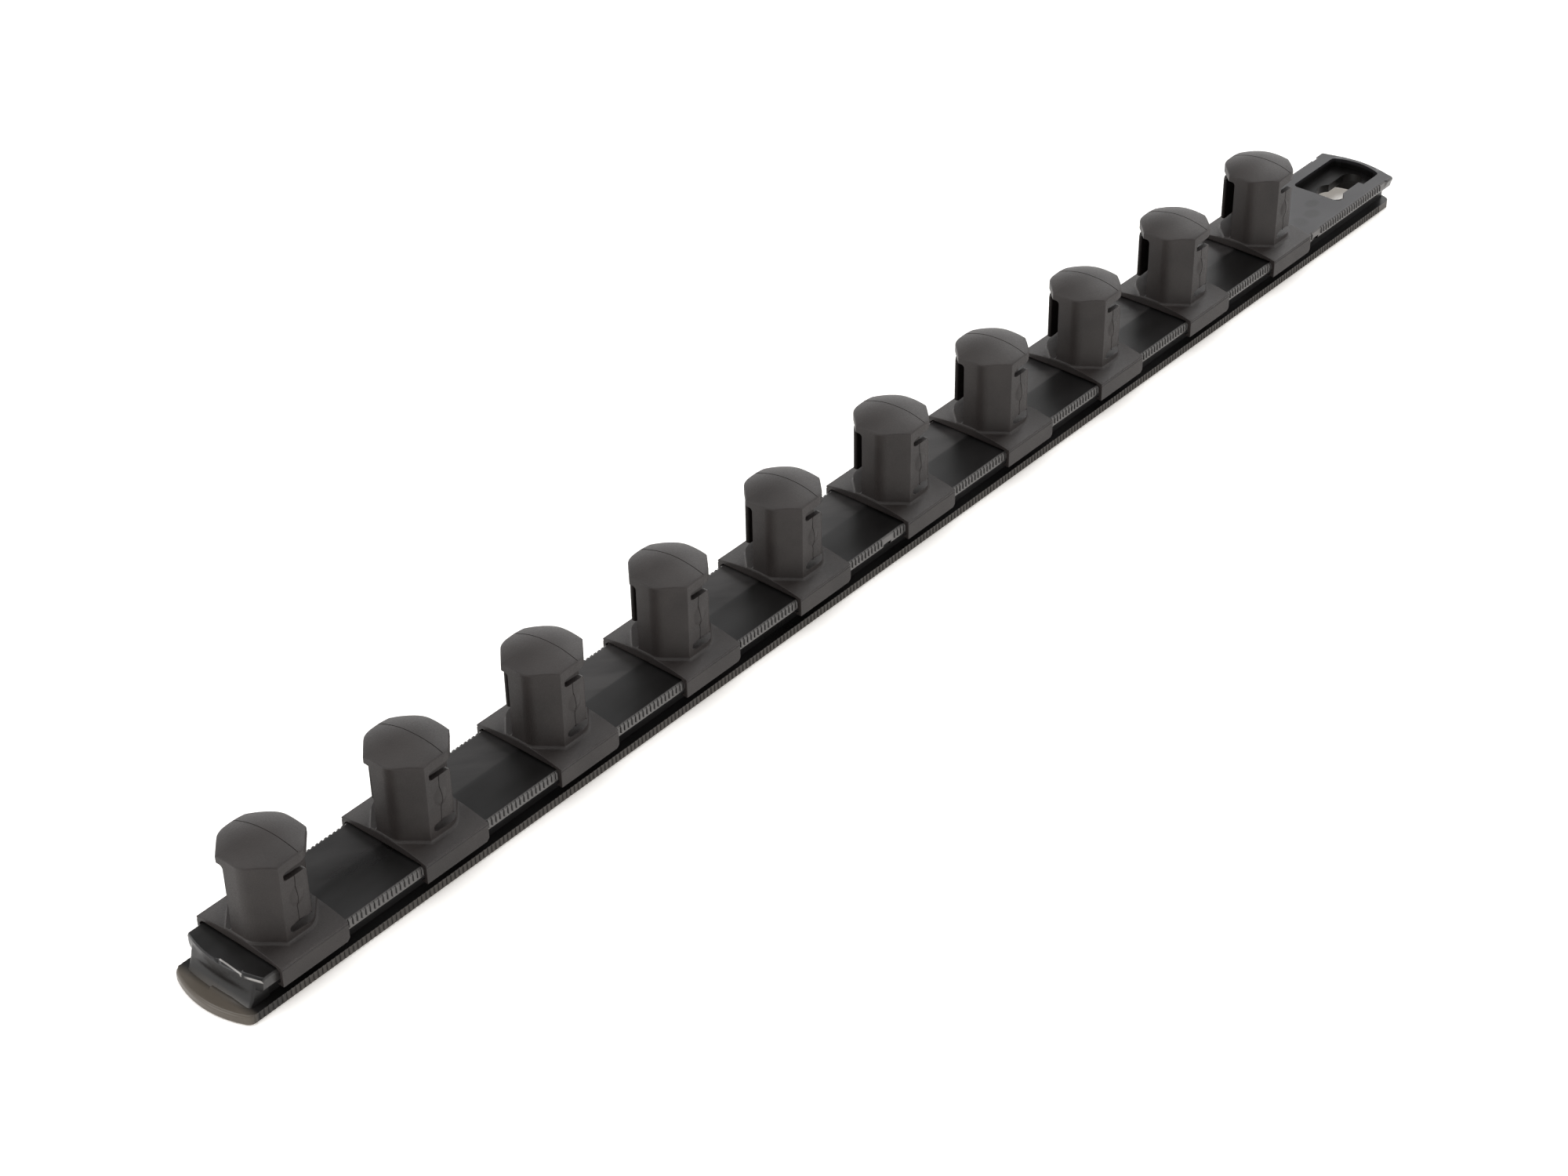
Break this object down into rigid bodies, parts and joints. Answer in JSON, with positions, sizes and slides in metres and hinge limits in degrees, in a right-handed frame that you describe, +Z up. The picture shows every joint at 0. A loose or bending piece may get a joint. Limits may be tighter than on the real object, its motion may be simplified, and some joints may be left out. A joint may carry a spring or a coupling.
{
  "type": "socket rail",
  "caption": "Moulded rail with sliding socket clips: each clip has a domed eight-sided post with two spring leaves, and one rail end has a hanging pocket.",
  "frame": {"origin": "middle of the rail's length and width, on the plane under its foot", "axes": "+X along the rail towards the hanging pocket, +Y across it, +Z up along the posts"},
  "size_m": [0.3048, 0.0178, 0.023],
  "materials": {
    "rail": "semi-gloss black moulding",
    "clip": "matte, fine-grained dark grey moulding"
  },
  "bodies": {
    "rail": {"rail": "rail"},
    "socket_clip_01": {"socket_clip_01": "clip"},
    "socket_clip_02": {"socket_clip_02": "clip"},
    "socket_clip_03": {"socket_clip_03": "clip"},
    "socket_clip_04": {"socket_clip_04": "clip"},
    "socket_clip_05": {"socket_clip_05": "clip"},
    "socket_clip_06": {"socket_clip_06": "clip"},
    "socket_clip_07": {"socket_clip_07": "clip"},
    "socket_clip_08": {"socket_clip_08": "clip"},
    "socket_clip_09": {"socket_clip_09": "clip"},
    "socket_clip_10": {"socket_clip_10": "clip"}
  },
  "joints": [
    {"name": "socket_clip_01_slide", "type": "slide", "parent": "rail", "child": "socket_clip_01", "axis": [1, 0, 0], "range_m": [-0.004, 0.007]},
    {"name": "socket_clip_02_slide", "type": "slide", "parent": "rail", "child": "socket_clip_02", "axis": [1, 0, 0], "range_m": [-0.007, 0.007]},
    {"name": "socket_clip_03_slide", "type": "slide", "parent": "rail", "child": "socket_clip_03", "axis": [1, 0, 0], "range_m": [-0.007, 0.007]},
    {"name": "socket_clip_04_slide", "type": "slide", "parent": "rail", "child": "socket_clip_04", "axis": [1, 0, 0], "range_m": [-0.007, 0.007]},
    {"name": "socket_clip_05_slide", "type": "slide", "parent": "rail", "child": "socket_clip_05", "axis": [1, 0, 0], "range_m": [-0.007, 0.007]},
    {"name": "socket_clip_06_slide", "type": "slide", "parent": "rail", "child": "socket_clip_06", "axis": [1, 0, 0], "range_m": [-0.007, 0.007]},
    {"name": "socket_clip_07_slide", "type": "slide", "parent": "rail", "child": "socket_clip_07", "axis": [1, 0, 0], "range_m": [-0.007, 0.007]},
    {"name": "socket_clip_08_slide", "type": "slide", "parent": "rail", "child": "socket_clip_08", "axis": [1, 0, 0], "range_m": [-0.007, 0.007]},
    {"name": "socket_clip_09_slide", "type": "slide", "parent": "rail", "child": "socket_clip_09", "axis": [1, 0, 0], "range_m": [-0.007, 0.007]},
    {"name": "socket_clip_10_slide", "type": "slide", "parent": "rail", "child": "socket_clip_10", "axis": [1, 0, 0], "range_m": [-0.007, 0.028]}
  ]
}
